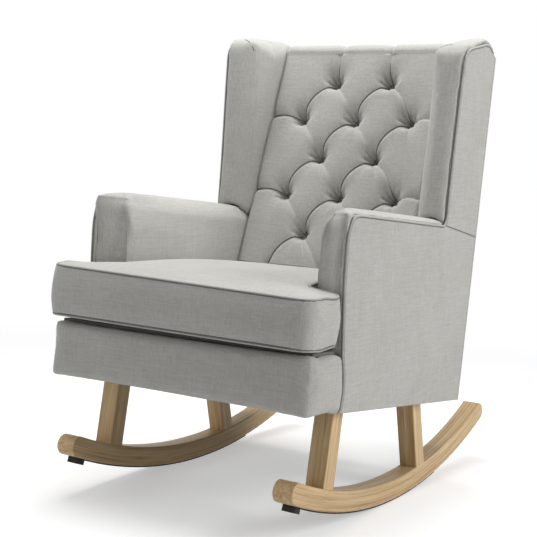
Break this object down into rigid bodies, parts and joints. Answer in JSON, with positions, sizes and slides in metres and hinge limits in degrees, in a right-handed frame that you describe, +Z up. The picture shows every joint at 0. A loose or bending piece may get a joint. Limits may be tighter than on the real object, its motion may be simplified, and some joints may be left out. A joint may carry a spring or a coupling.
{
  "type": "rocking chair",
  "caption": "Upholstered wingback rocking chair: diamond-tufted back, rolled arms, loose T-shaped seat cushion, square splayed legs on two curved wooden rockers.",
  "frame": {"origin": "on the floor, at the centre of the bounding box in X and Y, with the chair balanced at rest on its rockers", "axes": "+Z up, -Y out of the front of the seat, X across the chair with +X at the viewer's right when facing the chair"},
  "size_m": [0.65, 1.0108, 1.0672],
  "materials": {
    "cover_fabric": "matte slub weave",
    "oak": "clear satin",
    "frame_wood": "raw sawn",
    "rubber": "matte",
    "steel": "zinc plated",
    "webbing": "woven",
    "dust_cloth": "thin non-woven cloth",
    "zip_tape": "woven tape with coil",
    "zip_metal": "nickel"
  },
  "bodies": {
    "chair": {"anti_tip_stop_left": "rubber", "anti_tip_stop_right": "rubber", "arm_pad_left": "cover_fabric", "arm_pad_right": "cover_fabric", "arm_post_left": "frame_wood", "arm_post_right": "frame_wood", "arm_rail_left": "frame_wood", "arm_rail_right": "frame_wood", "back_buttons": "cover_fabric", "back_pad": "cover_fabric", "back_panel": "cover_fabric", "back_post_left": "frame_wood", "back_post_right": "frame_wood", "back_rail_lower": "frame_wood", "back_rail_middle": "frame_wood", "back_rail_top": "frame_wood", "back_webbing": "webbing", "corner_blocks": "frame_wood", "dust_cover": "dust_cloth", "front_border": "cover_fabric", "front_leg_left": "oak", "front_leg_right": "oak", "front_rail": "frame_wood", "grip_strip_left": "rubber", "grip_strip_right": "rubber", "leg_blocks": "frame_wood", "leg_bolts": "steel", "rear_leg_left": "oak", "rear_leg_right": "oak", "rear_rail": "frame_wood", "rocker_left": "oak", "rocker_right": "oak", "rocker_screws": "steel", "seat_deck": "cover_fabric", "seat_springs": "steel", "side_panel_left": "cover_fabric", "side_panel_right": "cover_fabric", "side_rail_left": "frame_wood", "side_rail_right": "frame_wood", "spring_clips": "steel", "stop_screws": "steel", "wing_board_left": "frame_wood", "wing_board_right": "frame_wood", "wing_pad_left": "cover_fabric", "wing_pad_right": "cover_fabric", "wing_panel_left": "cover_fabric", "wing_panel_right": "cover_fabric"},
    "cushion": {"seat_cushion": "cover_fabric", "cushion_zip": "zip_tape"},
    "zip_runner": {"zip_slider": "zip_metal", "zip_pull": "zip_metal"}
  },
  "joints": [
    {"name": "cushion_slide", "type": "slide", "parent": "chair", "child": "cushion", "axis": [0, -0.9979, 0.0645], "range_m": [0, 0.4]},
    {"name": "zip_slide", "type": "slide", "parent": "cushion", "child": "zip_runner", "axis": [1, 0, 0], "range_m": [0, 0.396]}
  ]
}
